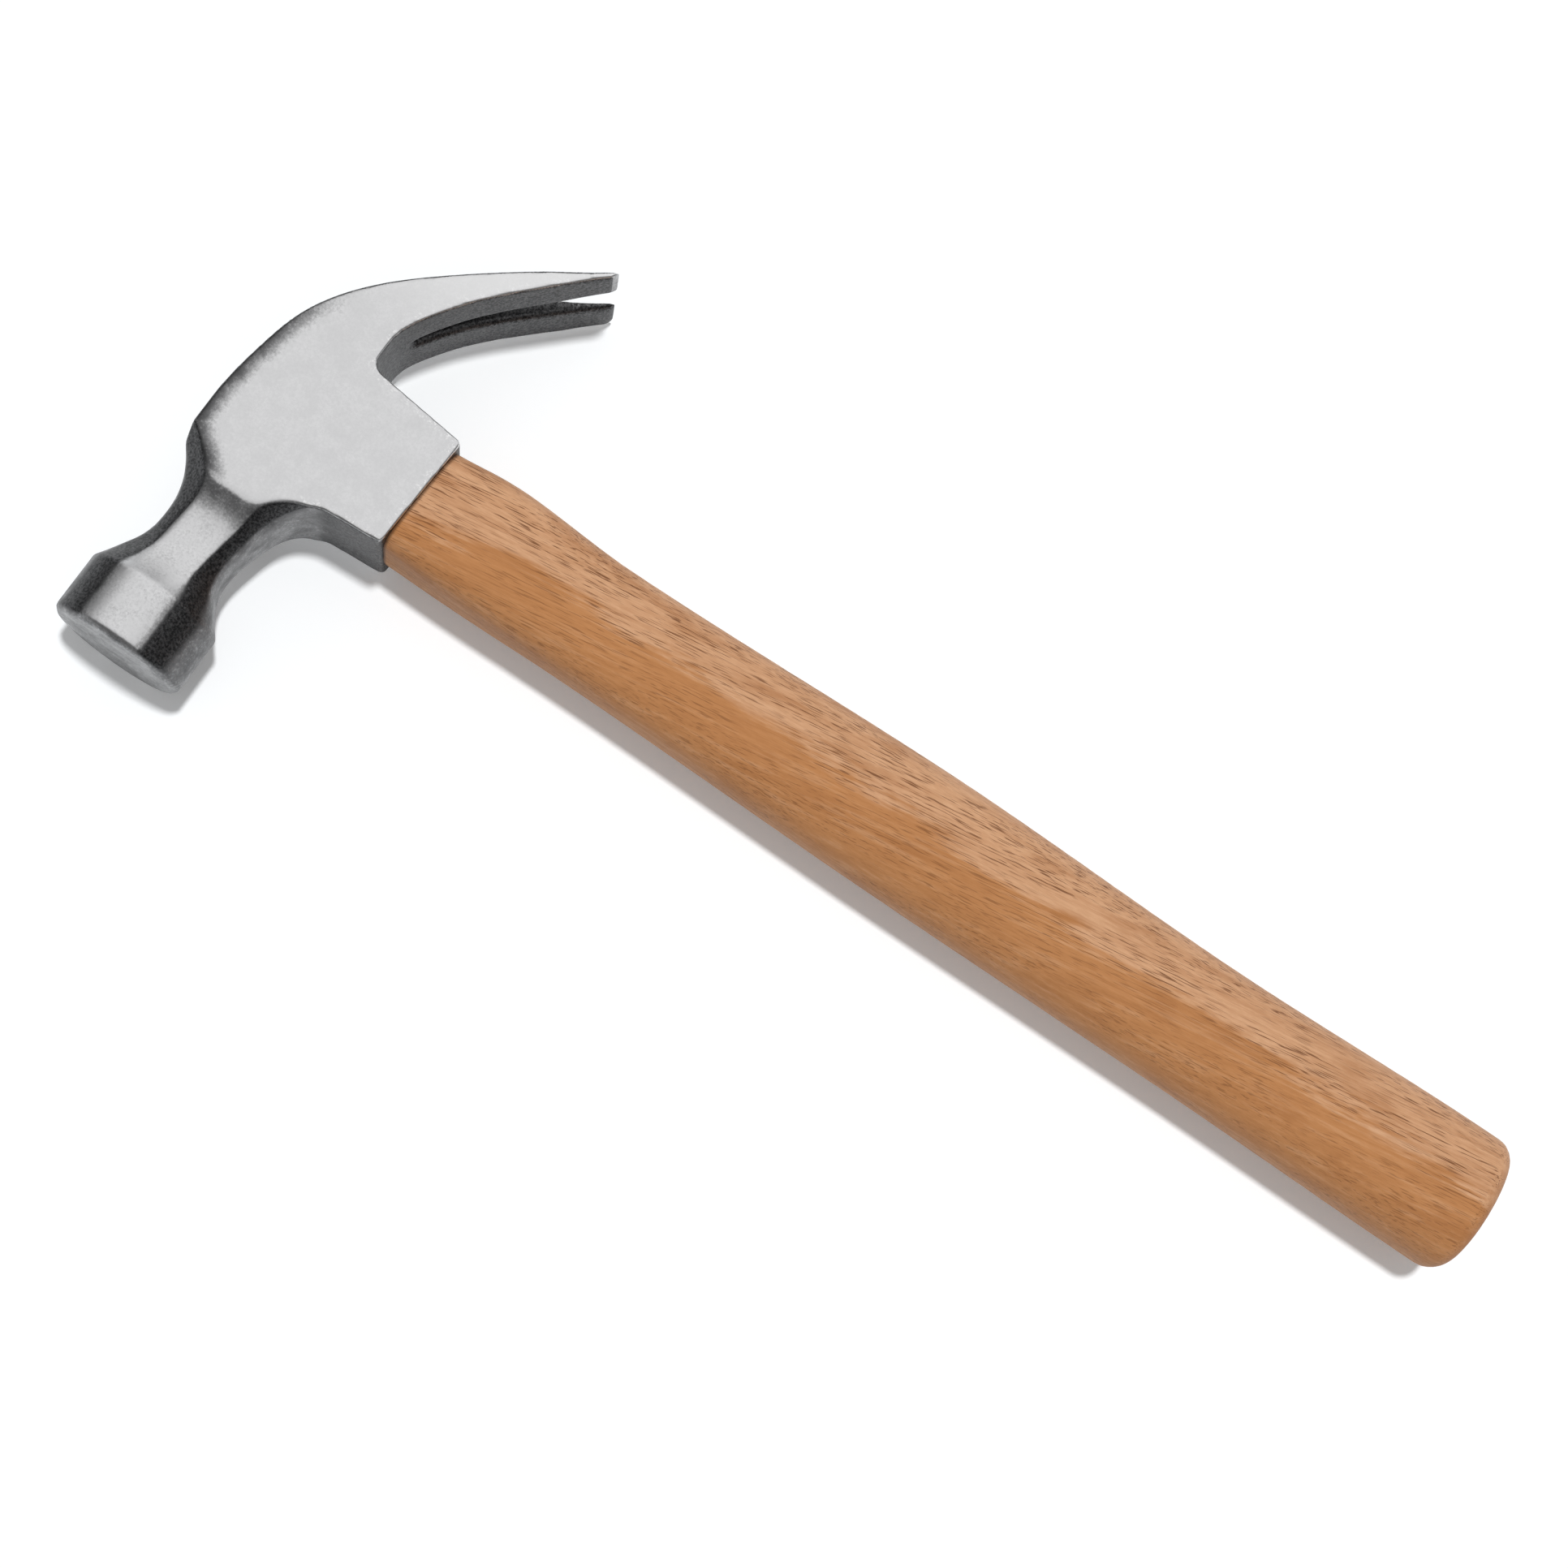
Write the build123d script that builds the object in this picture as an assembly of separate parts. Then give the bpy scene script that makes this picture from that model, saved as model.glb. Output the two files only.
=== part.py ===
from build123d import *
import os
from math import copysign, cos, pi, radians, sin, tan

# Claw hammer lying on its side: a forged steel head on a wooden handle. The handle's tenon fills the
# eye of the head, a wooden wedge spreads the tenon, and two steel wedges lock both.
# Axes: +X from the butt of the handle to the crown of the head, +Y towards the striking face,
# +Z up out of the cheek. All pieces are drawn about the point where the handle's axis meets the
# head's underside, at mid width, and are moved at the end so that the origin is the centre of the
# bounding box's bottom. Sizes are in millimetres and angles in degrees.

# ---- Head: eye block ----
cheek_width = 25.5
crown_height = 48.9  # underside to crown, along the handle
underside_tilt = 3.0  # the underside rises towards the striking face
block_face_side = 14.7  # handle axis to the wall below the neck, at the underside
block_claw_side = 13.9  # handle axis to the wall below the claws, at the underside
face_wall_lean = 3.5  # each wall leans out by this angle as it rises
claw_wall_lean = 7.0
crown_face_edge = 18.8  # handle axis to the crown's edge above the neck
block_corner = 1.2  # rounding of the two corners beside the handle
crown_rounding = 1.0  # between the crown and the cheeks
cheek_rounding = 0.5  # along the cheeks' other edges

# ---- Head: claws ----
claw_reach = 66.4  # handle axis to the outermost corner of the tips
claw_drop = 7.4  # tips below the underside
tip_bevel = (1.0, 2.6)  # inner corner of a tip from its outer corner, along X and Y
claw_tip_width = 30.6  # across both claws at the tips
claw_tip_corner = 2.4  # rounding of the tips' outer corners
claw_flare_start = 18.0  # handle axis to where the claws begin to widen
throat_height = 25.0  # highest point of the hollow under the claws
throat_reach = 23.0  # handle axis to that point
throat_fillet = 3.4  # between the hollow and the block
slot_root = (22.5, -31.0)  # centre of the slot's round end, along X and Y
slot_root_width = 3.0
slot_tip_width = 8.8
slot_slope = 47.0  # from the crown's plane down to the slot's length
slot_chamfer = 1.0  # along both edges of the slot, in the hollow

# ---- Head: neck and poll ----
poll_axis_height = 35.2  # underside to the poll's axis
poll_radius = 15.8
poll_length = 14.6
face_reach = 64.4  # handle axis to the striking face
face_bevel = 1.2
# Each flat of the neck: distance from the poll's axis at the waist, and waist to the poll's rim
crown_flat = (8.4, 16.8)
low_flat = (9.8, 12.0)
cheek_flat = (9.6, 14.5)
crown_corner_flat = (9.8, 14.5)
low_corner_flat = (11.0, 13.0)
neck_foot_height = 13.5  # underside to where the neck leaves the block's wall

# ---- Eye: wide at both mouths, narrow at the waist. Widths are along Y and Z ----
eye_mouth = (21.6, 16.8)  # at the underside
eye_waist = (20.0, 15.2)
eye_crown = (22.0, 16.8)
eye_waist_height = 20.0
eye_corner_share = 0.42  # corner radius as a share of the eye's width along Z
eye_overrun = 1.5  # the cutting shape runs this far past both mouths

# ---- Handle ----
handle_length = 277.0  # underside of the head to the butt
# Stations where the handle is thickest or thinnest: share of the length from the head, then claw
# side, face side, thickness along Z and squareness
handle_stations = [
    (-0.02, 13.2, 14.0, 23.2, 4.2),
    (0.000, 13.2, 14.0, 23.2, 4.2),
    (0.057, 14.75, 14.35, 23.8, 3.6),
    (0.165, 13.7, 14.3, 22.8, 2.9),
    (0.490, 16.0, 15.5, 25.2, 2.4),
    (0.730, 15.0, 15.4, 24.6, 2.4),
    (0.965, 16.3, 15.9, 26.6, 2.5),
    (1.020, 16.3, 15.9, 26.6, 2.5),
]
section_count = 36
section_points = 24
butt_rounding = 4.6
butt_bow_radius = 75.0
tenon_clearance = 0.05  # per side, between the tenon and the eye
tenon_recess = 0.6  # the wood ends this far below the crown
kerf_below_wedge = 6.0  # the saw cut ends this far below the wooden wedge
kerf_width = 1.2

# ---- Wedges ----
wood_wedge_length = 31.0
wood_wedge_thickness = 4.4  # at the crown
steel_wedge_length = 17.0
steel_wedge_thickness = 2.4  # at the crown
steel_wedge_edge = 0.5  # at the driven end
steel_wedge_width = 11.5
steel_wedge_spacing = 10.5  # between the two, along Y
steel_wedge_recess = 0.2  # the steel ends this far below the crown

THROUGH = 120.0  # longer than any cut is deep


def underside(y):
    """Height X of the head's underside at y."""
    return y * tan(radians(underside_tilt))


def face_wall(x):
    """Where the block's wall on the face side lies at height x."""
    return block_face_side + (x - underside(block_face_side)) * tan(radians(face_wall_lean))


def claw_wall(x):
    """Where the block's wall on the claw side lies at height x."""
    return -block_claw_side - (x - underside(-block_claw_side)) * tan(radians(claw_wall_lean))


def crown_curve():
    """The top of the head, from the edge above the neck to the claw tips."""
    bend = -claw_flare_start
    run = claw_reach - claw_flare_start
    drop = crown_height + claw_drop
    return [
        Line((crown_height, crown_face_edge), (crown_height, 8)),
        Spline(
            (crown_height, 8),
            (crown_height - 0.028 * drop, bend + 11),
            (crown_height - 0.075 * drop, bend),
            (crown_height - 0.185 * drop, bend - 0.225 * run),
            (crown_height - 0.440 * drop, bend - 0.52 * run),
            (crown_height - 0.735 * drop, bend - 0.785 * run),
            (-claw_drop, -claw_reach),
            tangents=[(0, -1), (-1.40, -1)],
        ),
    ]


def hollow_curve():
    """The hollow under the claws, from the tips' inner corner to the block."""
    tip = (-claw_drop + tip_bevel[0], -claw_reach + tip_bevel[1])
    run = -throat_reach - tip[1]
    rise = throat_height - tip[0]
    wall = (throat_height - throat_fillet, claw_wall(throat_height - throat_fillet))
    top = (throat_height, wall[1] - throat_fillet)
    curve = Spline(
        tip,
        (tip[0] + 0.385 * rise, tip[1] + 0.290 * run),
        (tip[0] + 0.666 * rise, tip[1] + 0.520 * run),
        (tip[0] + 0.898 * rise, tip[1] + 0.770 * run),
        (tip[0] + 0.977 * rise, tip[1] + 0.890 * run),
        top,
        tangents=[(1.08, 1), (0, 1)],
    )
    corner = Spline(top, wall, tangents=[(0, 1), (-1, tan(radians(claw_wall_lean)))])
    return tip, [curve, corner], wall


def swell(flat):
    """The last stretch of a neck profile: from its waist out to the poll's rim."""
    waist, length = flat
    rim = face_reach - poll_length
    shares = [(0, 1), (0.12, 0.62), (0.36, 0.40), (0.66, 0.19), (1, 0)]
    return [(waist + (poll_radius - waist) * out, rim - length * back) for out, back in shares]


def neck_edge(points, side):
    """A neck profile as a curve in XY, from (distance from the poll's axis, y) points.

    side is 1 on the crown's side of the poll's axis and -1 on the underside's.
    """
    return Spline(*[(poll_axis_height + side * d, y) for d, y in points])


def block_corners():
    """The block beside the handle in side view: throat, the two corners of its underside, neck's foot."""
    throat = hollow_curve()[2]
    low_claw = (underside(-block_claw_side), -block_claw_side)
    low_face = (underside(block_face_side), block_face_side)
    neck_foot = (neck_foot_height, face_wall(neck_foot_height))
    return throat, low_claw, low_face, neck_foot


def side_outline():
    """Block, claws and neck from the side, as one face in XY."""
    tip, hollow, _ = hollow_curve()
    throat, low_claw, low_face, start = block_corners()
    rim = face_reach - poll_length
    top = crown_height - poll_axis_height
    foot = poll_axis_height - neck_foot_height
    crown_side = [(top, crown_face_edge), (crown_flat[0] + 1.7, crown_face_edge + 6), *swell(crown_flat)]
    low_side = [
        (foot, start[1]),
        (foot - 4.2, start[1] + 1.5),
        (foot - 8.0, start[1] + 5.9),
        (low_flat[0] + 1.3, start[1] + 14),
        *swell(low_flat),
    ]
    edges = [
        *crown_curve(),
        Line((-claw_drop, -claw_reach), tip),
        *hollow,
        Polyline(throat, low_claw, low_face, start),
        neck_edge(low_side, -1),
        neck_edge(crown_side, 1),
        Line((poll_axis_height - poll_radius, rim), (poll_axis_height + poll_radius, rim)),
    ]
    outline = make_face(Curve() + edges)
    corners = [v for v in outline.vertices() if (v.X, v.Y) in (low_claw, low_face)]
    return fillet(corners, block_corner)


def plan_outline():
    """Block, claws and neck from above the crown, as one face in YZ."""
    half, tip = cheek_width / 2, claw_tip_width / 2
    end = claw_reach
    rim = face_reach - poll_length
    point = (crown_face_edge + 3.8, half)
    flare = Spline((-claw_flare_start, half), (-end, tip), tangents=[(-1, 0), (-1, 0.07)])
    flank = Spline(point, (point[0] + 6, cheek_flat[0] + 1.1), *[(y, d) for d, y in swell(cheek_flat)])
    near = [flare, Line((-claw_flare_start, half), point), flank]
    edges = [
        *near,
        *[edge.mirror(Plane.XZ) for edge in near],
        Line((-end, tip), (-end, -tip)),
        Line((rim, poll_radius), (rim, -poll_radius)),
    ]
    outline = make_face(Curve() + edges)
    return Plane.YZ * fillet(outline.vertices().group_by(Axis.X)[0], claw_tip_corner)


def corner_slab(turn):
    """What stays between two oblique cuts along the neck: they leave the block and claws whole.

    turn is the angle about the poll's axis from the crown's side to the slab's own.
    """
    rim, far, back = face_reach - poll_length, 4 * poll_radius, -2 * claw_reach
    y = crown_face_edge
    crown_side = [(26, y - 9), (18.0, y - 3.4), (13.6, y + 1.8), (crown_corner_flat[0] + 1.2, y + 6),
                  *swell(crown_corner_flat)]
    low_side = [(26, y - 2.5), (18.8, y - 0.7), (15.3, y + 3.4), (low_corner_flat[0] + 2, y + 9.6),
                *swell(low_corner_flat)]
    outline = [
        Spline(*crown_side),
        Spline(*[(-d, y) for d, y in low_side]),
        Line((poll_radius, rim), (-poll_radius, rim)),
        Polyline(crown_side[0], (far, crown_side[0][1]), (far, back), (-far, back),
                 (-far, low_side[0][1]), (-low_side[0][0], low_side[0][1])),
    ]
    slab = extrude(make_face(Curve() + outline), THROUGH, both=True)
    return Pos(poll_axis_height, 0, 0) * Rot(0, turn, 0) * slab


def neck_rounding():
    """What the neck is trimmed to, so that its corners fade out before the poll's round rim."""
    rim, far, back = face_reach - poll_length, 5 * poll_radius, -2 * claw_reach
    waist = low_corner_flat[0]
    start = (2 * poll_radius, rim - 21)
    edge = Spline(
        start,
        (1.20 * waist, rim - 12.5),
        (1.13 * waist, rim - 8),
        (poll_radius - 2.0, rim - 3.2),
        (poll_radius, rim),
    )
    outline = [
        edge,
        Polyline((poll_radius, rim), (0, rim), (0, back), (far, back), (far, start[1]), start),
    ]
    return Pos(poll_axis_height, 0, 0) * revolve(make_face(Curve() + outline), Axis.Y)


def poll():
    end = Plane.XZ.offset(-face_reach) * Circle(poll_radius)
    blank = Pos(poll_axis_height, 0, 0) * extrude(end, poll_length)
    return chamfer(blank.edges().sort_by(Axis.Y)[-1], face_bevel)


def eye(clearance=0.0):
    """The eye's hollow, or with a clearance per side the tenon that fills it."""
    sections = [
        (-eye_overrun, eye_mouth),
        (eye_waist_height, eye_waist),
        (crown_height + eye_overrun, eye_crown),
    ]
    outlines = []
    for x, (along_y, along_z) in sections:
        width, depth = along_y - 2 * clearance, along_z - 2 * clearance
        outline = RectangleRounded(width, depth, eye_corner_share * depth)
        outlines.append(Plane.YZ.offset(x) * outline)
    return loft(outlines)


def slot_outline(grow, end):
    """The nail slot seen along its walls: a V with a round root, in the plane across them."""
    half_root, half_tip = slot_root_width / 2 + grow, slot_tip_width / 2 + grow
    return make_face(
        Curve()
        + [
            Line((0, half_root), (-end, half_tip)),
            Line((-end, half_tip), (-end, -half_tip)),
            Line((-end, -half_tip), (0, -half_root)),
            ThreePointArc((0, half_root), (half_root, 0), (0, -half_root)),
        ]
    )


def nail_slot():
    """The slot between the claws, which runs down their slope from its round root."""
    slope = radians(slot_slope)
    length = (claw_reach + slot_root[1]) / cos(slope) + 4
    along = Vector(sin(slope), cos(slope), 0)
    across = Vector(cos(slope), -sin(slope), 0)
    plane = Plane(origin=(*slot_root, 0), x_dir=along, z_dir=across)
    return extrude(plane * slot_outline(0, length), THROUGH, both=True)


def rims_along(shape, curves, nearest, furthest):
    """The shape's edges that lie over these side-view curves, between two distances from mid width."""
    rims = []
    for edge in shape.edges():
        middle = edge.position_at(0.5)
        spot = Vertex(middle.X, middle.Y, 0)
        if nearest < abs(middle.Z) < furthest and min(curve.distance_to(spot) for curve in curves) < 0.001:
            rims.append(edge)
    return rims


def head():
    shape = extrude(side_outline(), claw_tip_width, both=True)
    shape &= extrude(plan_outline(), THROUGH, both=True)
    shape &= corner_slab(45)
    shape &= corner_slab(-45)
    shape &= neck_rounding()
    shape += poll()
    shape -= eye()
    shape -= nail_slot()
    hollow = hollow_curve()[1]
    under_cheeks = [*hollow, Polyline(*block_corners())]
    cheek = cheek_width / 2 - 0.1
    shape = chamfer(rims_along(shape, hollow[:1], 0, slot_tip_width / 2), slot_chamfer)
    shape = fillet(rims_along(shape, under_cheeks, cheek, THROUGH), cheek_rounding)
    return fillet(rims_along(shape, crown_curve(), cheek, THROUGH), crown_rounding)


def handle_size(share):
    """Claw side, face side, thickness and squareness at a share of the handle's length."""
    for (start, *here), (end, *there) in zip(handle_stations, handle_stations[1:]):
        if share <= end:
            part = (share - start) / (end - start)
            ease = part * part * (3 - 2 * part)
            return [a + (b - a) * ease for a, b in zip(here, there)]


def handle_section(share):
    """One rounded section of the handle, a superellipse."""
    claw_side, face_side, thickness, squareness = handle_size(share)
    middle, half_y, half_z = (face_side - claw_side) / 2, (claw_side + face_side) / 2, thickness / 2
    points = []
    for i in range(section_points):
        turn = 2 * pi * i / section_points
        y = copysign(abs(cos(turn)) ** (2 / squareness), cos(turn))
        z = copysign(abs(sin(turn)) ** (2 / squareness), sin(turn))
        points.append((middle + half_y * y, half_z * z))
    return Plane.YZ.offset(-share * handle_length) * make_face(Spline(*points, periodic=True))


def butt_waste():
    """What is sanded off the butt to leave it gently bowed."""
    ball = Pos(butt_bow_radius - handle_length, 0, 0) * Sphere(butt_bow_radius)
    blank = Pos(-handle_length, 0, 0) * Box(butt_bow_radius / 2, butt_bow_radius, butt_bow_radius)
    return blank - ball


def above_underside():
    """Everything on the crown's side of the head's slanted underside."""
    return Rot(0, 0, -underside_tilt) * Pos(THROUGH / 2, 0, 0) * Box(THROUGH, THROUGH, THROUGH)


def above_height(x):
    return Pos(x + THROUGH / 2, 0, 0) * Box(THROUGH, THROUGH, THROUGH)


def kerf():
    """The saw cut in the tenon, opened to a V by the wooden wedge."""
    half_crown, half_cut = wood_wedge_thickness / 2, kerf_width / 2
    wedge_end = crown_height - wood_wedge_length
    outline = Polyline(
        (crown_height, half_crown),
        (wedge_end, half_cut),
        (wedge_end - kerf_below_wedge, half_cut),
        (wedge_end - kerf_below_wedge, -half_cut),
        (wedge_end, -half_cut),
        (crown_height, -half_crown),
        close=True,
    )
    return extrude(Plane.XZ * make_face(outline), THROUGH / 2, both=True)


def handle_body():
    first, last = handle_stations[0][0], handle_stations[-1][0]
    shares = [first + (last - first) * i / section_count for i in range(section_count)]
    body = loft([handle_section(share) for share in [*shares, last]])
    body -= butt_waste()
    rim = body.faces().sort_by(Axis.X)[0].edges()
    return fillet(rim, butt_rounding) - above_underside()


def tenon():
    return eye(tenon_clearance) - above_height(crown_height - tenon_recess)


def wood_wedge():
    """The wedge that fills the V of the kerf from wall to wall of the eye."""
    return tenon() & kerf() & above_height(crown_height - wood_wedge_length)


def steel_wedge(y):
    """A tapered steel wedge driven in beside y, across the wooden one."""
    top = crown_height - steel_wedge_recess
    half_top, half_edge = steel_wedge_thickness / 2, steel_wedge_edge / 2
    end = top - steel_wedge_length
    outline = Polyline((top, half_top), (end, half_edge), (end, -half_edge), (top, -half_top), close=True)
    return Pos(0, y, 0) * extrude(make_face(outline), steel_wedge_width / 2, both=True)


def move_to_origin(pieces):
    """Move all pieces so that the origin is the centre of the bounding box's bottom."""
    box = Compound(list(pieces.values())).bounding_box()
    shift = Pos(-box.center().X, -box.center().Y, -box.min.Z)
    return {name: shift * piece for name, piece in pieces.items()}


def main():
    os.makedirs("parts", exist_ok=True)
    face_wedge = steel_wedge(steel_wedge_spacing / 2)
    claw_wedge = steel_wedge(-steel_wedge_spacing / 2)
    pieces = {
        "head": head(),
        "handle": handle_body() + tenon() - kerf() - face_wedge - claw_wedge,
        "wood_wedge": wood_wedge() - face_wedge - claw_wedge,
        "steel_wedge_face_side": face_wedge,
        "steel_wedge_claw_side": claw_wedge,
    }
    for name, piece in move_to_origin(pieces).items():
        export_step(piece, f"parts/{name}.step")


main()
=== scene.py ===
# %% [markdown]
# A claw hammer lies on its side on a white table. Its head is one steel forging: a square block round
# the eye, a pair of claws, and a neck that swells to a round striking poll. Its handle is hardwood,
# shaped, sanded and lacquered. This lesson dresses the measured model, which gives every piece its
# true size and place: first the camera and the light, then the steel, then the wood.

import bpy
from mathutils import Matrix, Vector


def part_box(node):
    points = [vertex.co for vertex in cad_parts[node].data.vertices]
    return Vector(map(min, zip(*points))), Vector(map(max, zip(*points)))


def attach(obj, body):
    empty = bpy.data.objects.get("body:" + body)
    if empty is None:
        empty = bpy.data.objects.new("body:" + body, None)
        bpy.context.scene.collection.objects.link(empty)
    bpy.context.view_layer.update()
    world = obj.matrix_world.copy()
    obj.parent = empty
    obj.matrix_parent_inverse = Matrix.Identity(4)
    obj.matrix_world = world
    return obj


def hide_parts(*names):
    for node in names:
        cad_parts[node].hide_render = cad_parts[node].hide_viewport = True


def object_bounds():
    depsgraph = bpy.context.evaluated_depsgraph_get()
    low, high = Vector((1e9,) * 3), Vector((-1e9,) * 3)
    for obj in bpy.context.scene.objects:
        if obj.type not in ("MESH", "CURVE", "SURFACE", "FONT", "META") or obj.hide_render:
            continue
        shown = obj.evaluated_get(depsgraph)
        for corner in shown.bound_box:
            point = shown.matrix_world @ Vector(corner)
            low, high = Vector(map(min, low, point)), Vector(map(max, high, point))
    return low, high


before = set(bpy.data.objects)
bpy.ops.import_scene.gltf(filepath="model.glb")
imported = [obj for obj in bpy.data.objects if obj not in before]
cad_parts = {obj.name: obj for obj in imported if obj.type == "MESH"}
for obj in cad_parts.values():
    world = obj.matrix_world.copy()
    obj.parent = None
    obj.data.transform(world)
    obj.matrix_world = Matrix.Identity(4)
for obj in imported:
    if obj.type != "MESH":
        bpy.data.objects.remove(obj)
measured_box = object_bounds()
print("pieces", sorted(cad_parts))

# %% The tools this lesson uses
from math import radians, tan

import bmesh
import bpy
import numpy as np
from mathutils import Matrix, Vector
from mathutils.kdtree import KDTree

MM = 0.001
scene = bpy.context.scene
scene.view_settings.view_transform = "Standard"
lowest, highest = measured_box
print("size in mm", [round(side / MM, 1) for side in highest - lowest])

# %% [markdown]
# The camera looks down from almost straight above, leaning a little towards the striking face, so
# that the cheek of the head and the top of the handle show, with a sliver of the walls beside them.
# It could be aimed with a constraint, but its turn about its own axis matters here, because the
# handle runs down to the right. Two directions say it all: the one back to the camera, and the one
# that is up in its view.

# %% The camera
focal_length = 64.93  # in mm, as a lens is named
camera_distance = 617.1 * MM
aim = (lowest + highest) / 2 + Vector((13.5, 7.2, 0.0)) * MM
to_camera = Vector((-0.02005, 0.23115, 0.97271)).normalized()
view_up = Vector((0.55726, -0.80519, 0.20282))

lens = bpy.data.cameras.new("camera")
lens.lens = focal_length
lens.clip_start = 10 * MM
camera = bpy.data.objects.new("camera", lens)
view_right = view_up.cross(to_camera).normalized()
view_up = to_camera.cross(view_right)
turn = Matrix((view_right, view_up, to_camera)).transposed()
camera.matrix_world = Matrix.Translation(aim + to_camera * camera_distance) @ turn.to_4x4()
scene.collection.objects.link(camera)
scene.camera = camera
print("camera at", [round(value, 4) for value in camera.matrix_world.translation])

# %% [markdown]
# A shader is a tree of nodes. Every one of them is made the same way: choose its kind, set its
# options, then give each input a number or a wire from another node. One helper does that, and a few
# more give names to the steps that come back in every finish: a mask between two values, a swing
# about zero, a mix of two colours, stretched noise and a bump.

# %% Helpers for nodes
def give(tree, node, inputs):
    """Gives each input of a node a value, or a wire from another node's output."""
    for key, value in inputs.items():
        if isinstance(value, bpy.types.NodeSocket):
            tree.links.new(value, node.inputs[key])
        else:
            node.inputs[key].default_value = value


def add(tree, kind, inputs=None, **options):
    """A new node of this kind, with its options set and its inputs given."""
    node = tree.nodes.new(kind)
    for name, value in options.items():
        setattr(node, name, value)
    give(tree, node, inputs or {})
    return node


def between(tree, value, low, high, start=0.0, end=1.0):
    """A smooth step: start where the value is at low, end where it reaches high."""
    ranges = {"Value": value, "From Min": low, "From Max": high, "To Min": start, "To Max": end}
    return add(tree, "ShaderNodeMapRange", ranges, interpolation_type="SMOOTHSTEP").outputs[0]


def maths(tree, operation, first, second):
    """One step of arithmetic on two values."""
    return add(tree, "ShaderNodeMath", {0: first, 1: second}, operation=operation).outputs[0]


def swing(tree, value, reach):
    """Noise, which lies about 0.5, made to swing about zero, over this reach."""
    return maths(tree, "MULTIPLY", maths(tree, "SUBTRACT", value, 0.5), reach)


print("helpers for nodes are ready")


# %% Helpers for patterns and colours
SPREAD = (0.35, 0.65)  # most noise lies between these
WIDE_SPREAD = (0.3, 0.7)


def mix(tree, amount, first, second):
    """Two colours mixed by an amount."""
    sockets = {0: amount, 6: first, 7: second}
    return add(tree, "ShaderNodeMix", sockets, data_type="RGBA").outputs[2]


def noise(tree, spot, per_mm, detail=3.0, rough=0.5):
    """Noise with this many blobs per millimetre along X, Y and Z."""
    scaled = add(tree, "ShaderNodeMapping", {"Vector": spot, "Scale": [n / MM for n in per_mm]})
    settings = {"Vector": scaled.outputs[0], "Scale": 1.0, "Detail": detail, "Roughness": rough}
    return add(tree, "ShaderNodeTexNoise", settings).outputs["Fac"]


def bumped(tree, height, distance, strength):
    """The normal of a surface that rises and falls with this height."""
    settings = {"Strength": strength, "Distance": distance, "Height": height}
    return add(tree, "ShaderNodeBump", settings).outputs[0]


def srgb(red, green, blue):
    """A colour given as 0 to 255, in the linear values that shaders want."""
    shares = [value / 255 for value in (red, green, blue)]
    return (*[s / 12.92 if s <= 0.04045 else ((s + 0.055) / 1.055) ** 2.4 for s in shares], 1.0)


print("mid grey is", [round(value, 3) for value in srgb(128, 128, 128)])


# %% Helpers for finishes
def new_finish(name):
    """A plain material: the material itself, its tree and its surface shader."""
    material = bpy.data.materials.new(name)
    material.use_nodes = True
    return material, material.node_tree, material.node_tree.nodes["Principled BSDF"]


def place_on_piece(tree):
    """The spot being coloured, in the piece's own coordinates."""
    return add(tree, "ShaderNodeTexCoord").outputs["Object"]


def dress(piece, material):
    """Gives the piece this finish and no other."""
    piece.data.materials.clear()
    piece.data.materials.append(material)


print("helpers for finishes are ready")

# %% [markdown]
# Polished steel shows its surroundings more than its own colour. Under one wide soft box, in a room
# that is otherwise dim, flat cheeks turn bright and rounded sides fall to dark bands. The box hangs
# over the claws' side and ends a little past the middle, so that what slopes towards the face turns
# grey. The box could be a real lamp, but painted on the world by direction it stays soft and needs
# no place in the room. Only the rays that leave shiny surfaces see it. The camera sees white there,
# and dull surfaces get an even light from all around.

# %% The soft box
box_light = 1.0
room_light = 0.12
even_light = 0.30
# Where the box fades in, as shares of a unit direction
face_fade = (0.54, 0.26)  # from the face's side
butt_fade = (-0.85, -0.50)  # from the butt's side
crown_fade = (0.88, 0.56)  # from the crown's side
low_fade = (0.0, 0.30)  # up from the horizon

world = bpy.data.worlds.new("studio")
world.use_nodes = True
scene.world = world
sky = world.node_tree
sky.nodes.clear()
direction = add(sky, "ShaderNodeTexCoord").outputs["Generated"]
share = add(sky, "ShaderNodeSeparateXYZ", {0: direction}).outputs
inside = between(sky, share["Y"], *face_fade)
for axis, fade in (("X", butt_fade), ("X", crown_fade), ("Z", low_fade)):
    inside = maths(sky, "MULTIPLY", inside, between(sky, share[axis], *fade))
levels = {"Value": inside, "To Min": room_light, "To Max": box_light}
glow = add(sky, "ShaderNodeMapRange", levels).outputs[0]
print("soft box", box_light, "in a room at", room_light)

# %% What each kind of ray sees
ray = add(sky, "ShaderNodeLightPath").outputs
choice = {"Factor": ray["Is Glossy Ray"], 2: even_light, 3: glow}
shown = add(sky, "ShaderNodeMix", choice).outputs[0]
strength = maths(sky, "MAXIMUM", shown, ray["Is Camera Ray"])
studio = add(sky, "ShaderNodeBackground", {"Color": (1, 1, 1, 1), "Strength": strength})
add(sky, "ShaderNodeOutputWorld", {"Surface": studio.outputs[0]})
print("world has", len(sky.nodes), "nodes")

# %% [markdown]
# An even light and a soft box leave hardly any shadow, and the hammer would seem to float. One lamp
# stands high on the claws' side and casts the soft shadow that falls towards the face. It could be
# an area lamp, but its light would fade along the handle, so it is a sun with a wide disc.

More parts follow.
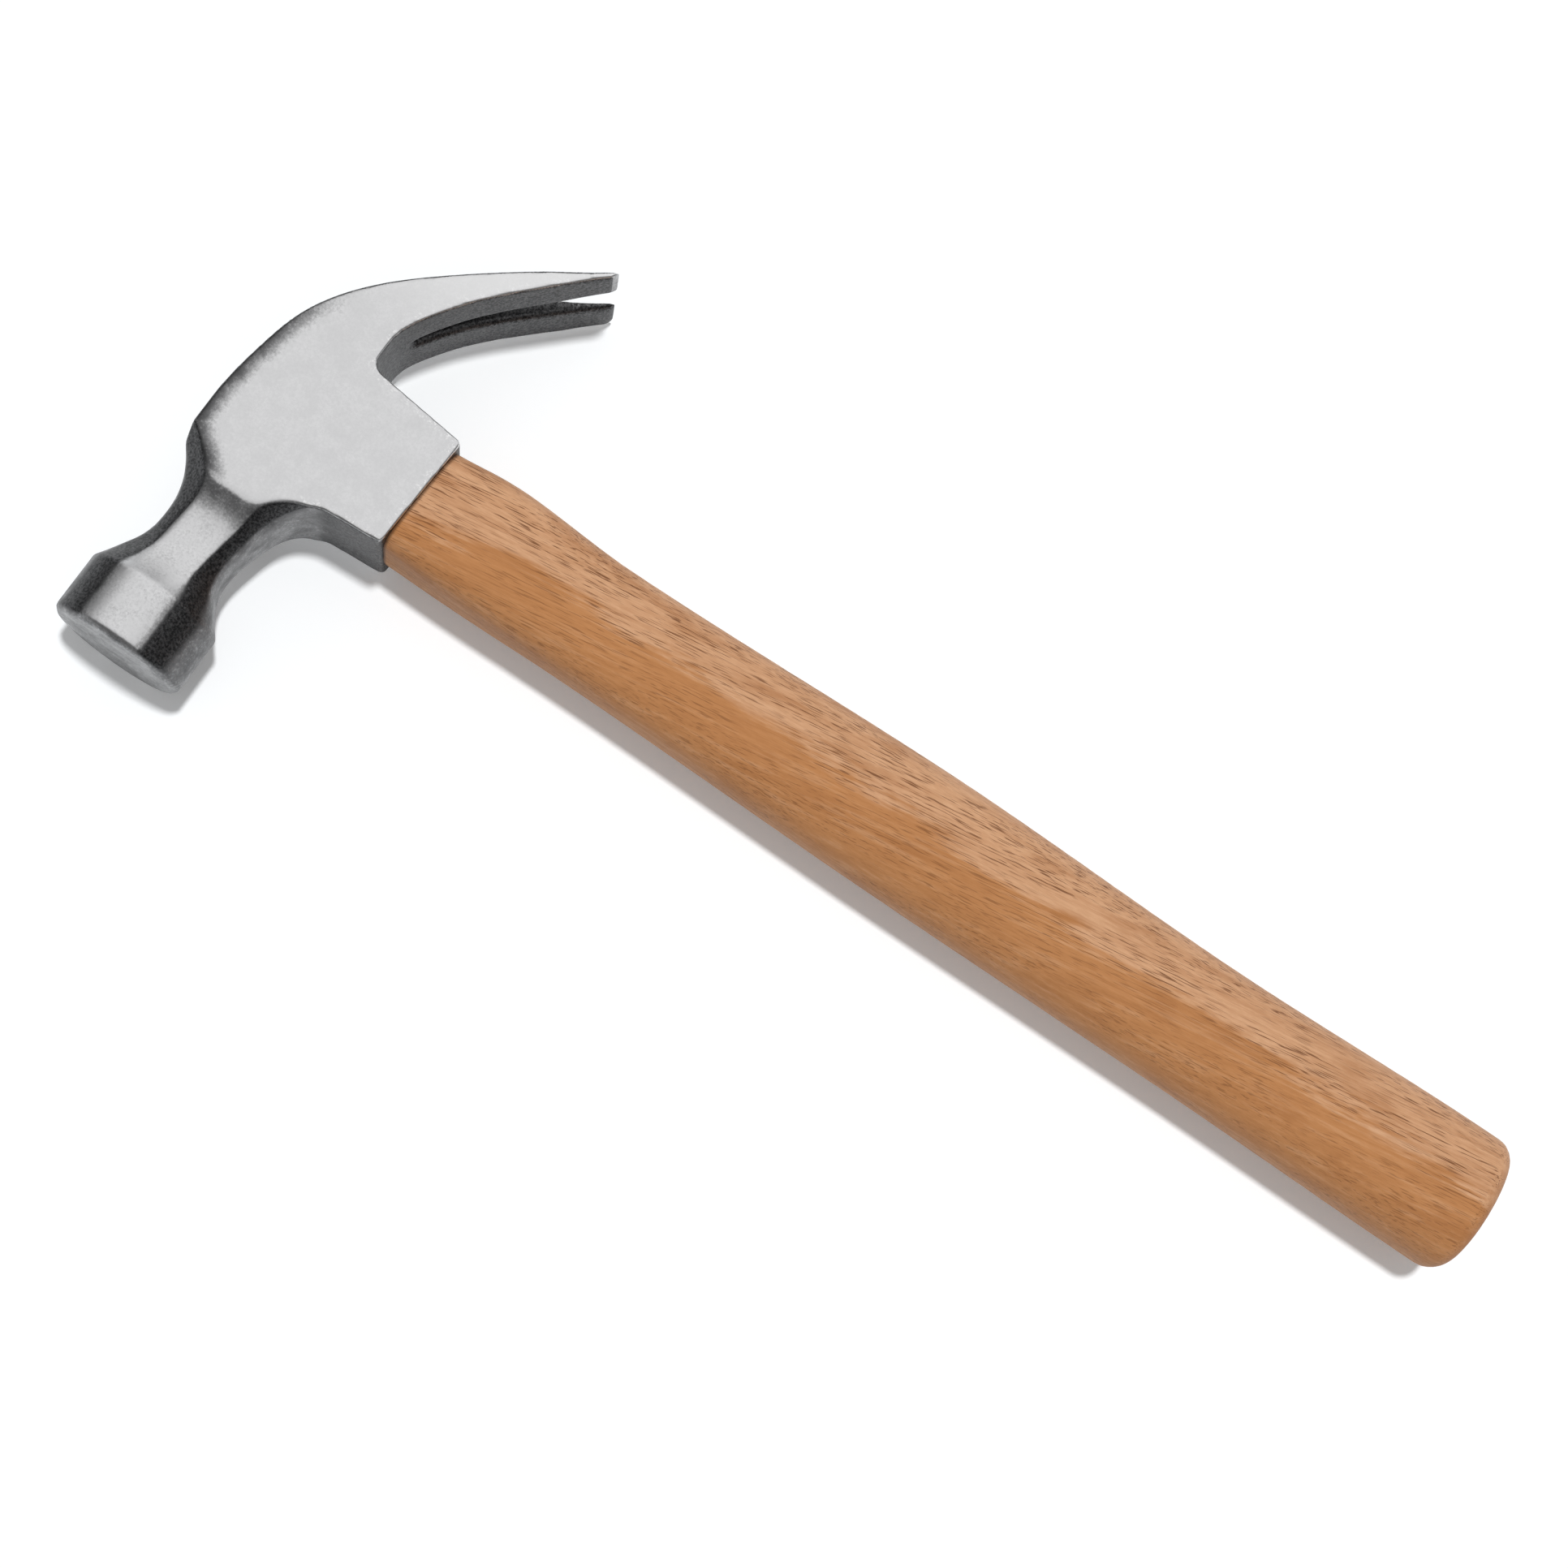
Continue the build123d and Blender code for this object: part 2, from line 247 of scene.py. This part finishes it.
# %% The key lamp
lamp = bpy.data.lights.new("key_lamp", "SUN")
lamp.energy = 2.2
lamp.angle = radians(5)
key = bpy.data.objects.new("key_lamp", lamp)
to_lamp = Vector((-0.02, -0.125, 0.99))
key.rotation_mode = "QUATERNION"
key.rotation_quaternion = to_lamp.to_track_quat("Z", "Y")
key.visible_glossy = False  # the soft box alone shows in the steel
scene.collection.objects.link(key)
print("key lamp", lamp.energy)

# %% [markdown]
# The table is a plain white sheet just under the hammer. Its own colour makes it all but white in
# this light. More light would bleach the hammer too, so a faint glow, which only the camera and
# shiny surfaces see, lifts the sheet the rest of the way, and the hammer's shadow stays on it.

# %% The table
table_reach = 3.0  # metres each way
table_gap = 0.02 * MM  # the hammer rests on a hair of air
sheet = bmesh.new()
bmesh.ops.create_grid(sheet, x_segments=1, y_segments=1, size=table_reach)
bmesh.ops.translate(sheet, verts=sheet.verts, vec=(0, 0, lowest.z - table_gap))
sheet_mesh = bpy.data.meshes.new("table")
sheet.to_mesh(sheet_mesh)
sheet.free()
table = bpy.data.objects.new("table", sheet_mesh)
scene.collection.objects.link(table)
print("table at", round(table.data.vertices[0].co.z / MM, 2), "mm")

# %% The table's paper
paper_colour = (0.905, 0.925, 0.94, 1)  # a little cool, against the wood's warm bounce
paper_lift = 0.15
paper, tree, surface = new_finish("white_paper")
ray = add(tree, "ShaderNodeLightPath").outputs
seen = maths(tree, "MAXIMUM", ray["Is Camera Ray"], ray["Is Glossy Ray"])
seen = maths(tree, "MAXIMUM", seen, ray["Is Transmission Ray"])
surface.inputs["Base Color"].default_value = paper_colour
surface.inputs["Roughness"].default_value = 0.9
surface.inputs["Specular IOR Level"].default_value = 0.1
surface.inputs["Emission Color"].default_value = (1, 1, 1, 1)
give(tree, surface, {"Emission Strength": maths(tree, "MULTIPLY", seen, paper_lift)})
dress(table, paper)
print("paper has", len(tree.nodes), "nodes")

# %% [markdown]
# The head comes off the grinder with soft edges: no corner of a forging is as sharp as a drawing.
# The measured head could be bevelled edge by edge, but its faces are loose triangles of every
# length, which a bevel tears. Instead the shape is cast again in small even cells, a voxel remesh,
# and then relaxed a little. The flats stay flat, and every edge turns over a few tenths of a
# millimetre, as after a pass on the belt.

# %% A copy of a measured piece
weld_reach = 0.001 * MM


def merged_copy(node, name):
    """A new piece with a measured node's shape, its loose triangles joined."""
    shape = bmesh.new()
    shape.from_mesh(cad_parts[node].data)
    bmesh.ops.remove_doubles(shape, verts=shape.verts, dist=weld_reach)
    mesh = bpy.data.meshes.new(name)
    shape.to_mesh(mesh)
    shape.free()
    piece = bpy.data.objects.new(name, mesh)
    scene.collection.objects.link(piece)
    return piece


head = merged_copy("head", "hammer_head")
print("head copied with", len(head.data.polygons), "faces")


# %% How a piece is cast again
def relax(shape, verts):
    """Moves each point halfway to the middle of its neighbours."""
    bmesh.ops.smooth_vert(
        shape, verts=verts, factor=0.5, use_axis_x=True, use_axis_y=True, use_axis_z=True
    )


def own_box(piece):
    """The lowest and the highest corner of a piece's box."""
    return Vector(piece.bound_box[0]), Vector(piece.bound_box[6])


def recast(piece, size, passes, spans):
    """The piece made again from even cells and relaxed, more so in spans of Y, in its own box."""
    low, high = own_box(piece)
    cast = piece.modifiers.new("cast", "REMESH")
    cast.mode = "VOXEL"
    cast.voxel_size = size
    depsgraph = bpy.context.evaluated_depsgraph_get()
    result = bpy.data.meshes.new_from_object(piece.evaluated_get(depsgraph))
    piece.modifiers.clear()
    shape = bmesh.new()
    shape.from_mesh(result)
    for _ in range(passes):
        relax(shape, shape.verts)
    for outer_start, inner_start, inner_end, outer_end, more in spans:
        for index in range(more):
            share = index / more
            start = outer_start + share * (inner_start - outer_start)
            end = outer_end + share * (inner_end - outer_end)
            relax(shape, [vert for vert in shape.verts if start < vert.co.y < end])
    for vert in shape.verts:
        vert.co = [min(max(value, least), most) for value, least, most in zip(vert.co, low, high)]
    for face in shape.faces:
        face.smooth = True
    shape.to_mesh(result)
    shape.free()
    # Normals stored from the loose triangles no longer fit
    if "custom_normal" in result.attributes:
        result.attributes.remove(result.attributes["custom_normal"])
    piece.data = result


head_low, head_high = own_box(head)
print("head in mm before it is cast", [round(side / MM, 1) for side in head_high - head_low])

# %% The head, cast in even cells
cell = 0.48 * MM
relax_passes = 2
# More passes in two spans of Y, fewer near a span's ends: the neck, rounded under the power hammer,
# and the claws' tips, worn by use. Each span gives its outer and inner start, its inner and outer
# end, and its passes.
neck_span = (18 * MM, 26 * MM, 47 * MM, 51.2 * MM, 42)
tip_span = (-70 * MM, -70 * MM, -61 * MM, -56 * MM, 17)
recast(head, cell, relax_passes, (neck_span, tip_span))
print("head faces", len(head.data.polygons))

# %% [markdown]
# Only part of the forging is ground bright: the cheeks, the top of the poll's barrel, a rim round
# the handle and, more thinly, the striking face and the end bevel of the claws. The hollow under
# the claws, the slot, the crown and the walls of the block keep the dark skin of the forge. The neck
# is bright along one band on top like the barrel, and the sides of both are painted shade, lighter
# again where they stand upright, a painted reflection of the table. A facet beside the cheek, the
# cheeks beside the crown and the far claw's tip get painted shade too, and painted light brightens
# the claws towards their tips.
#
# The marks could be painted by hand on a flattened map. Here three numbers on each point of the mesh
# say how much skin and painted shade lie there, how sharp the edge there is, and how close a nicked
# edge lies. They come from the shape itself, which way it faces and how it bends, so they fit it
# without a painted map.

# %% Where each point of the head is, and which way it faces
def step(values, low, high):
    """A smooth step from 0 at low to 1 at high, for a whole row of values."""
    share = np.clip((values - low) / (high - low), 0, 1)
    return share * share * (3 - 2 * share)


def distance_to(chosen):
    """How far each point of the head is from the nearest chosen one."""
    search = KDTree(len(chosen))
    for index in chosen:
        search.insert(place[index], int(index))
    search.balance()
    return np.array([search.find(spot)[2] for spot in place])


count = len(head.data.vertices)
place = np.zeros(count * 3)
facing = np.zeros(count * 3)
head.data.vertices.foreach_get("co", place)
head.data.vertex_normals.foreach_get("vector", facing)
place, facing = place.reshape(-1, 3), facing.reshape(-1, 3)
x, y, z = place.T
middle_z = (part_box("head")[1].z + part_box("head")[0].z) / 2
from_middle = np.abs(z - middle_z)
level = np.abs(facing[:, 2])  # 1 on the cheeks, 0 on the walls
print("head points", count)

# %% Skin on the walls and on the crown
wall_turn, crown_turn, up_turn = (0.35, 0.62), (0.80, 0.97), (0.05, 0.20)
on_wall = 1 - step(level, *wall_turn)
on_crown = 1 - step(level, *crown_turn)
looks_up = step(facing[:, 0], *up_turn)  # towards the crown, which is the head's own top
skin_and_shade = on_wall * (1 - looks_up) + on_crown * looks_up
print("skin on the walls", round(float(skin_and_shade.mean()), 2))

# %% Skin in the slot, on the claws' tips and on the rim round the handle
slot_half, slot_start = 5.4 * MM, -14 * MM
tip_bevel_y = -62.9 * MM
near_tip_skin, far_tip_skin_and_shade = 0.58, 0.85
underside_x = 113.0 * MM  # where the handle's axis meets the head's underside
rim_depth, rim_half = 2 * MM, 15 * MM
rim_skin = 0.20

in_slot = (from_middle < slot_half) & (y < slot_start)
skin_and_shade[in_slot] = 1.0
on_tip = (y < tip_bevel_y) & (facing[:, 0] < -0.5) & ~in_slot
# The far claw's tip, lower down, is darker than the near one: its skin with painted shade over it
skin_and_shade[on_tip] = np.where(z[on_tip] > middle_z, near_tip_skin, far_tip_skin_and_shade)
on_rim = (x < underside_x + rim_depth) & (facing[:, 0] < -0.2) & (level > 0.25)
on_rim &= np.abs(y) < rim_half
skin_and_shade[on_rim] = np.minimum(skin_and_shade[on_rim], rim_skin)
print("points on the tips", int(on_tip.sum()), "and on the rim", int(on_rim.sum()))

# %% Painted shade on the cheeks beside the crown
crown_painted_shade, crown_reach = 0.75, 6.0 * MM
shade_from, shade_to = 8 * MM, 38 * MM  # it fades out along the claws
crown_edge = (on_crown > 0.3) & (looks_up > 0.5) & (level > 0.3)
# Painted shade: the cheeks darken towards the crown's edge, less and less along the claws
painted_shade = crown_painted_shade * (1 - step(-y, shade_from, shade_to))
painted_shade *= 1 - step(distance_to(np.flatnonzero(crown_edge)), 0, crown_reach)
print("points on the crown's edge", int(crown_edge.sum()))

# %% Skin and painted shade on the neck and the poll
neck_start, facet_end = 17.5 * MM, 34 * MM
cheek_plane = 12.75 * MM  # from the middle of the head
painted_side_shade, band_skin = 0.95, 0.22  # on the dark sides, and along the bright band
# The facet beside the cheek is painted a shade darker, as if it were turned away from the light
facet_painted_shade, facet_fade = 0.62, 7 * MM
dark_turn, upright_turn, painted_table_reflection = (0.36, 0.56), (0.72, 0.90), 0.38

# flank is 0 on top of the barrel and 1 where its sides stand upright. The sides get painted shade, as
# if the round steel reflected a dim room, and where they stand upright it thins again, a painted
# reflection of the white table.
flank = np.abs(facing[:, 0]) / np.maximum(np.hypot(facing[:, 0], facing[:, 2]), 0.001)
off_cheek = step(cheek_plane - from_middle, 0.15 * MM, 0.5 * MM)
off_cheek = np.maximum(off_cheek, y > facet_end)
round_part = step(y, neck_start - 2 * MM, neck_start) * off_cheek
painted_side_mask = step(flank, *dark_turn) * (1 - painted_table_reflection * step(flank, *upright_turn))
# Skin along the bright band, and painted shade on the sides of the neck and the barrel
skin_and_shade = skin_and_shade * (1 - round_part) + round_part * (band_skin + (painted_side_shade - band_skin) * painted_side_mask)
# The painted shade beside the crown runs on a little past the neck's start
skin_and_shade = np.maximum(skin_and_shade, painted_shade * (1 - step(y, neck_start + 4 * MM, neck_start + 9 * MM)))
# Painted shade on the facet beside the cheek
facet = round_part * (1 - step(y, facet_end - facet_fade, facet_end))
skin_and_shade = np.maximum(skin_and_shade, facet * facet_painted_shade)
print("share of the head on the neck and poll", round(float(round_part.mean()), 2))

# %% Skin on the striking face
poll_rim = 50.8 * MM
face_skin, face_turn = 0.60, (0.45, 0.80)
face_on = step(facing[:, 1], *face_turn) * (y > poll_rim)
skin_and_shade = skin_and_shade * (1 - face_on) + face_skin * face_on
print("share of the head with forge skin", round(float(skin_and_shade.mean()), 2))

# %% Nicks beside the walls' edges
nick_reach = 3 * MM
wall_edge = (on_wall > 0.3) & (looks_up < 0.3) & (level > 0.3) & ~in_slot
nicked = 1 - step(distance_to(np.flatnonzero(wall_edge)), 0, nick_reach)
nicked = nicked * (1 - on_wall) * (1 - round_part)
print("points on the walls' edges", int(wall_edge.sum()))

# %% How sharp each edge is
ends = np.zeros(len(head.data.edges) * 2, int)
head.data.edges.foreach_get("vertices", ends)
first, second = ends.reshape(-1, 2).T
neighbours = np.bincount(first, minlength=count) + np.bincount(second, minlength=count)


def average_of_neighbours(values):
    total = np.bincount(first, values[second], count) + np.bincount(second, values[first], count)
    return total / np.maximum(neighbours, 1)


# A point on a convex edge stands proud of its neighbours' middle
proud = sum((place[:, i] - average_of_neighbours(place[:, i])) * facing[:, i] for i in range(3))
proud = proud / cell
for _ in range(3):
    proud = (proud + average_of_neighbours(proud)) / 2
# The first number holds the skin together with the painted shade
for name, values in (("forge_skin_and_shade", skin_and_shade), ("sharpness", proud), ("nicks", nicked)):
    layer = head.data.attributes.new(name, "FLOAT", "POINT")
    layer.data.foreach_set("value", values.astype(np.float32))
print("sharpness from", round(float(proud.min()), 3), "to", round(float(proud.max()), 3))

# %% [markdown]
# Two effects come back in more than one finish, so each is a node group. "clouding" is the faint
# patchiness, the fine tooth and the specks that grinding and lacquer leave on any metal. Its nodes
# could be copied into each finish, but a change to one copy would then miss the others.

# %% How a group is made and used
def new_group(name, inputs, outputs):
    """An empty node group with these sockets; returns its tree, its entry and its exit."""
    tree = bpy.data.node_groups.new(name, "ShaderNodeTree")
    for socket, kind in inputs:
        tree.interface.new_socket(socket, in_out="INPUT", socket_type=kind)
    for socket, kind in outputs:
        tree.interface.new_socket(socket, in_out="OUTPUT", socket_type=kind)
    return tree, tree.nodes.new("NodeGroupInput"), tree.nodes.new("NodeGroupOutput")


def use_group(tree, group, inputs):
    """Places a group in a finish; returns its outputs."""
    made = tree.nodes.new("ShaderNodeGroup")
    made.node_tree = group
    give(tree, made, inputs)
    return made.outputs


VECTOR, FLOAT = "NodeSocketVector", "NodeSocketFloat"
print("sockets are", VECTOR, "and", FLOAT)

# %% A group for clouded metal
clouding, entry, leave = new_group(
    "clouding", [("Place", VECTOR)], [("Cloud", FLOAT), ("Tooth", FLOAT), ("Speck", FLOAT)]
)
spot = entry.outputs["Place"]
patches = noise(clouding, spot, (0.22, 0.22, 0.22), detail=4, rough=0.6)
tooth = noise(clouding, spot, (1.7, 1.7, 1.7), detail=3, rough=0.7)
grit = noise(clouding, spot, (1.2, 1.2, 1.2), detail=2, rough=0.8)
specks = between(clouding, grit, 0.54, 0.64)
give(clouding, leave, {"Cloud": patches, "Tooth": tooth, "Speck": specks})
print("group", clouding.name, "with", len(clouding.nodes), "nodes")

# %% [markdown]
# The head's finish mixes two steels by the skin left on it, and by the painted shade carried with it.
# Ground steel is pale and satin; forge skin is nearly black, rougher and pitted. Along convex edges
# the skin is rubbed through in specks, so the pale steel shows there. Painted light brightens the
# claws towards their tips. Two separate materials would meet in a hard line, and a mask in one
# material lets noise fray that line.

# %% The colours of the head
ground_dark, ground_pale = srgb(212, 212, 213), srgb(220, 220, 221)
ground_grain = srgb(204, 204, 205)
dark_skin_and_shade, pale_skin_and_shade = srgb(46, 46, 47), srgb(98, 98, 99)
# Bright bare steel: rubbed on edges and at nicks, and painted light along the claws
worn_and_painted_shine = srgb(240, 240, 240)  # where bare steel is rubbed
steel, tree, surface = new_finish("hammer_steel")
here = place_on_piece(tree)
clouds = use_group(tree, clouding, {"Place": here})
print("a group in", steel.name, "puts out", [output.name for output in clouds])

# %% Where the skin and the painted shade fray, and where the skin is rubbed through
tooth_fray, cloud_fray = 0.6, 0.4  # how far noise moves the border of the skin
skin_border, sharp_edge = (0.15, 0.85), (0.05, 0.16)


def point_value(name):
    """A number that the head's points carry."""
    return add(tree, "ShaderNodeAttribute", attribute_name=name).outputs["Fac"]


# The points' first number holds the skin and the painted shade; noise frays their border
ragged = maths(tree, "ADD", point_value("forge_skin_and_shade"), swing(tree, clouds["Tooth"], tooth_fray))
ragged = maths(tree, "ADD", ragged, swing(tree, clouds["Cloud"], cloud_fray))
skin_and_shade_cover = between(tree, ragged, *skin_border)
edge = between(tree, point_value("sharpness"), *sharp_edge)
rubbed = maths(tree, "MULTIPLY", edge, between(tree, clouds["Tooth"], 0.42, 0.62))
dark_share = maths(tree, "MULTIPLY", skin_and_shade_cover, maths(tree, "SUBTRACT", 1.0, rubbed))
print("masks have", len(tree.nodes), "nodes")

# %% The two steels, mixed
# Painted light: the claws' cheeks brighten towards their tips
claw_light_start, claw_light_end, claw_light_most = -22 * MM, -50 * MM, 0.5  # the claws brighten to their tips
rubbed_light = 0.7

ground = mix(tree, between(tree, clouds["Cloud"], *SPREAD), ground_dark, ground_pale)
ground = mix(tree, between(tree, clouds["Tooth"], *SPREAD, 0.0, 0.5), ground, ground_grain)
along_claws = add(tree, "ShaderNodeSeparateXYZ", {0: here}).outputs["Y"]
# Painted light along the claws
painted_claw_light = between(tree, along_claws, claw_light_start, claw_light_end, 0.0, claw_light_most)
ground = mix(tree, painted_claw_light, ground, worn_and_painted_shine)
# The dark steel of the skin, also used for the painted shade
dark = mix(tree, between(tree, clouds["Tooth"], 0.36, 0.66), dark_skin_and_shade, pale_skin_and_shade)
nick = maths(tree, "MULTIPLY", point_value("nicks"), clouds["Speck"])
bright = maths(tree, "MAXIMUM", maths(tree, "MULTIPLY", rubbed, rubbed_light), nick)
coloured = mix(tree, bright, mix(tree, dark_share, ground, dark), worn_and_painted_shine)
print("head colours have", len(tree.nodes), "nodes")

# %% The shine of the head
skin_roughness = 0.12  # added to the ground steel's own
satin = between(tree, clouds["Cloud"], *WIDE_SPREAD, 0.32, 0.36)
roughness = maths(tree, "ADD", satin, maths(tree, "MULTIPLY", dark_share, skin_roughness))
pits = maths(tree, "MULTIPLY", clouds["Tooth"], maths(tree, "ADD", 0.35, dark_share))
surface.inputs["Metallic"].default_value = 1.0
pitted = bumped(tree, pits, 0.03 * MM, 0.35)
give(tree, surface, {"Base Color": coloured, "Roughness": roughness, "Normal": pitted})
dress(head, steel)
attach(head, "root")
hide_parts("head")
print("head finish has", len(tree.nodes), "nodes")

# %% [markdown]
# Wood is a bundle of long fibres, so its pattern is noise pulled out along the handle: broad bands
# of tone from the growth rings, fine fibre streaks, and pores, which show as short dark dashes on
# the long sides and as dots on the end grain. A pattern painted flat would smear at the butt, but
# this one fills space, so the end grain comes out by itself. The handle and the wooden wedge share
# the group.

# %% A group for hardwood
grain_turn = radians(-8)  # the fibres run a little across the handle
grain_rise = 0.01  # and rise a hair towards the head, in radians
hardwood, entry, leave = new_group(
    "hardwood",
    [("Place", VECTOR)],
    [("Band", FLOAT), ("Streak", FLOAT), ("Fibre", FLOAT), ("Pore", FLOAT)],
)
turned = {"Vector": entry.outputs[0], "Rotation": (0, grain_rise, grain_turn)}
grain = add(hardwood, "ShaderNodeMapping", turned).outputs[0]
bands = noise(hardwood, grain, (0.045, 0.18, 0.18), detail=4, rough=0.6)
streaks = noise(hardwood, grain, (0.014, 0.75, 0.75), detail=5, rough=0.62)
fibres = noise(hardwood, grain, (0.09, 4.5, 4.5), detail=3, rough=0.6)
dashes = between(hardwood, noise(hardwood, grain, (0.15, 4.0, 4.0), detail=1), 0.55, 0.66)
crowds = noise(hardwood, grain, (0.03, 0.16, 0.16), detail=3, rough=0.6)
pores = maths(hardwood, "MULTIPLY", dashes, between(hardwood, crowds, 0.32, 0.54))
give(hardwood, leave, {"Band": bands, "Streak": streaks, "Fibre": fibres, "Pore": pores})
print("group", hardwood.name, "with", len(hardwood.nodes), "nodes")

# %% [markdown]
# The blank was cut across two tones of timber: pale and pinkish on the claws' side, a deeper honey
# on the face's side, with a soft border along the middle. The last millimetre beside the head is
# stained dark where lacquer and dirt gather in the joint, with painted shade over it, and the end
# grain drinks more stain than the sides. One material holds all of this, because the handle is one
# piece of wood and the tones follow its place.

# %% The two tones of the handle
pale, honey, deep = srgb(212, 164, 126), srgb(193, 136, 88), srgb(162, 106, 62)
tone_border = (-1.5 * MM, 2.5 * MM)
border_wander, streak_wander = 14 * MM, 9 * MM
pale_at_head, pale_length = 7 * MM, 32 * MM  # the pale tone widens towards the head

lacquer, tree, surface = new_finish("lacquered_handle")
here = place_on_piece(tree)
wood = use_group(tree, hardwood, {"Place": here})
axes = add(tree, "ShaderNodeSeparateXYZ", {0: here}).outputs
across = maths(tree, "ADD", axes["Y"], swing(tree, wood["Band"], border_wander))
across = maths(tree, "ADD", across, swing(tree, wood["Streak"], streak_wander))
near_head = between(tree, axes["X"], underside_x - pale_length, underside_x, 0.0, pale_at_head)
across = maths(tree, "SUBTRACT", across, near_head)
tone = mix(tree, between(tree, across, *tone_border), pale, honey)
print("border between the tones", round((tone_border[1] - tone_border[0]) / MM, 1), "mm wide")

# %% The figure of the handle
pale_streak, pore_brown = srgb(222, 178, 140), srgb(104, 62, 36)
mottle = noise(tree, here, (0.35, 1.6, 1.6), detail=3, rough=0.6)
# Each pattern of the wood, the values between which it comes in, how much, and its colour
for pattern, low, high, most, colour in (
    (wood["Band"], 0.48, 0.68, 0.42, deep),
    (wood["Streak"], 0.42, 0.66, 0.25, deep),
    (wood["Streak"], 0.50, 0.32, 0.25, pale_streak),
    (wood["Fibre"], 0.45, 0.70, 0.22, deep),
    (mottle, *SPREAD, 0.16, deep),
):
    tone = mix(tree, between(tree, pattern, low, high, 0.0, most), tone, colour)
open_side = between(tree, across, 5 * MM, -1 * MM, 0.45, 0.8)  # the pale side's pores are wider
tone = mix(tree, maths(tree, "MULTIPLY", wood["Pore"], open_side), tone, pore_brown)
print("figure has", len(tree.nodes), "nodes")

# %% The stained ends of the handle, with painted shade at the seam
seam_brown = srgb(70, 45, 30)
seam_dirt_and_shade, butt_stain = 0.75, 0.55
underside_slope = tan(radians(3))
seam_x = underside_x - 1 * MM * underside_slope
seam = maths(tree, "ADD", maths(tree, "MULTIPLY", axes["Y"], underside_slope), seam_x)
from_seam = maths(tree, "SUBTRACT", seam, axes["X"])
# Dirt in the joint and painted shade darken the wood within a millimetre of the head
tone = mix(tree, between(tree, from_seam, 0.9 * MM, 0.1 * MM, 0.0, seam_dirt_and_shade), tone, seam_brown)
butt = (lowest.x + 4 * MM, lowest.x + 0.5 * MM)
tone = mix(tree, between(tree, axes["X"], *butt, 0.0, butt_stain), tone, deep)
print("seam at", round(seam_x / MM, 1), "mm, butt at", round(lowest.x / MM, 1), "mm")

# %% The lacquer of the handle
surface.inputs["Coat Weight"].default_value = 0.04
surface.inputs["Coat Roughness"].default_value = 0.3
surface.inputs["Specular IOR Level"].default_value = 0.2
roughness = between(tree, wood["Fibre"], *WIDE_SPREAD, 0.50, 0.62)
relief = maths(tree, "SUBTRACT", maths(tree, "MULTIPLY", wood["Fibre"], 0.4), wood["Pore"])
open_grain = bumped(tree, relief, 0.06 * MM, 0.5)
give(tree, surface, {"Base Color": tone, "Roughness": roughness, "Normal": open_grain})
dress(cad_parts["handle"], lacquer)
print("handle finish has", len(tree.nodes), "nodes")

# %% [markdown]
# The three wedges show only at the crown. The wooden one is a dry pale sliver of the same timber,
# and the steel ones are plain black strip, rubbed bright where the hammer drove them. They keep
# their measured shapes, since a wedge driven flush shows nothing but its end.

# %% The finish of the wooden wedge
dry_pale, dry_deep = srgb(214, 178, 136), srgb(184, 140, 96)
dry, tree, surface = new_finish("dry_wedge_wood")
wood = use_group(tree, hardwood, {"Place": place_on_piece(tree)})
tone = mix(tree, between(tree, wood["Streak"], *SPREAD), dry_pale, dry_deep)
tone = mix(tree, wood["Pore"], tone, pore_brown)
roughness = between(tree, wood["Fibre"], *WIDE_SPREAD, 0.6, 0.75)
dry_grain = bumped(tree, wood["Fibre"], 0.05 * MM, 0.5)
give(tree, surface, {"Base Color": tone, "Roughness": roughness, "Normal": dry_grain})
dress(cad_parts["wood_wedge"], dry)
print("wedge finish has", len(tree.nodes), "nodes")

# %% The finish of the steel wedges
strip_dark, strip_pale, strip_speck = srgb(95, 94, 92), srgb(132, 131, 130), srgb(170, 170, 170)
strip, tree, surface = new_finish("black_steel_strip")
clouds = use_group(tree, clouding, {"Place": place_on_piece(tree)})
tone = mix(tree, between(tree, clouds["Cloud"], *SPREAD), strip_dark, strip_pale)
tone = mix(tree, clouds["Speck"], tone, strip_speck)
roughness = between(tree, clouds["Cloud"], *WIDE_SPREAD, 0.38, 0.52)
surface.inputs["Metallic"].default_value = 1.0
toothed = bumped(tree, clouds["Tooth"], 0.04 * MM, 0.4)
give(tree, surface, {"Base Color": tone, "Roughness": roughness, "Normal": toothed})
for name in ("steel_wedge_face_side", "steel_wedge_claw_side"):
    dress(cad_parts[name], strip)
print("strip finish has", len(tree.nodes), "nodes")
